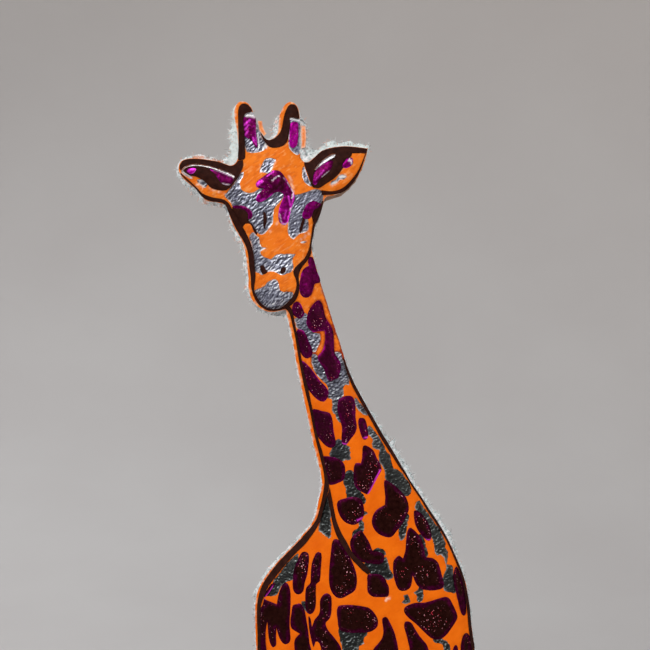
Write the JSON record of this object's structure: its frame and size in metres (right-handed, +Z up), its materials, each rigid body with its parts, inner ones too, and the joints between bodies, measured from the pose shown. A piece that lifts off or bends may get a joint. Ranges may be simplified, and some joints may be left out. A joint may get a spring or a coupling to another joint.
{
  "type": "carved giraffe statue",
  "caption": "Standing giraffe figure of shaped wooden boards on a stepped plinth, faced with felt, foils and a pierced orange skin; stands on its flat base.",
  "frame": {"origin": "centre of the plinth's underside, on the table", "axes": "+Z up along the neck to the horn tips; the giraffe faces -Y; +X to the viewer's right"},
  "size_m": [0.1, 0.06, 0.3107],
  "materials": {
    "plinth_wood": "dark stained and waxed",
    "pad_felt": "pressed felt",
    "screw_brass": "plain",
    "board_wood": "carved, oiled",
    "dowel_wood": "plain",
    "white_felt": "frayed at the rim",
    "silver_foil": "crinkled foil",
    "orange_skin": "satin, finely wrinkled",
    "purple_foil": "glossy foil",
    "dark_trim": "satin"
  },
  "bodies": {
    "root": {"base_plinth": "plinth_wood", "base_pad": "pad_felt", "base_screws": "screw_brass", "front_board": "board_wood", "rear_board": "board_wood", "board_dowels": "dowel_wood", "tail": "board_wood", "tail_tuft": "dark_trim", "felt_ground": "white_felt", "silver_foil": "silver_foil", "orange_skin": "orange_skin", "face_line": "dark_trim", "nape_line": "dark_trim", "throat_line": "dark_trim", "shoulder_line": "dark_trim", "lower_line": "dark_trim", "horn_left_cap": "dark_trim", "horn_right_cap": "dark_trim", "horn_left_sleeve": "purple_foil", "horn_right_sleeve": "purple_foil", "ear_left_shell": "dark_trim", "ear_left_tip": "purple_foil", "ear_left_inner": "purple_foil", "ear_right_shell": "dark_trim", "ear_right_rim": "dark_trim", "ear_right_inner": "purple_foil", "ear_right_tip": "purple_foil", "blaze": "purple_foil", "eye_left": "dark_trim", "eye_right": "dark_trim", "eyelid_left": "purple_foil", "eyelid_right": "purple_foil", "brow_slits": "dark_trim", "nostrils": "dark_trim", "spot_jaw": "purple_foil", "spot_throat": "purple_foil", "spot_neck_long": "purple_foil", "spot_neck_upper": "purple_foil", "spot_neck_middle": "purple_foil", "spot_neck_lower": "purple_foil", "spot_neck_front": "purple_foil", "spot_neck_small": "purple_foil", "spot_nape": "purple_foil", "spot_diamond": "purple_foil", "spot_round": "purple_foil", "spot_comma": "purple_foil", "spot_edge": "purple_foil", "spot_drop": "purple_foil", "spot_shoulder": "purple_foil", "spot_block": "purple_foil", "spot_triple": "purple_foil", "spot_side": "purple_foil", "spot_oval": "purple_foil", "spot_shield": "purple_foil", "chest_spots": "purple_foil", "flank_spots": "purple_foil", "belly_spots": "purple_foil", "hooves": "dark_trim", "hind_skin": "orange_skin", "hind_spots": "purple_foil"}
  },
  "joints": []
}
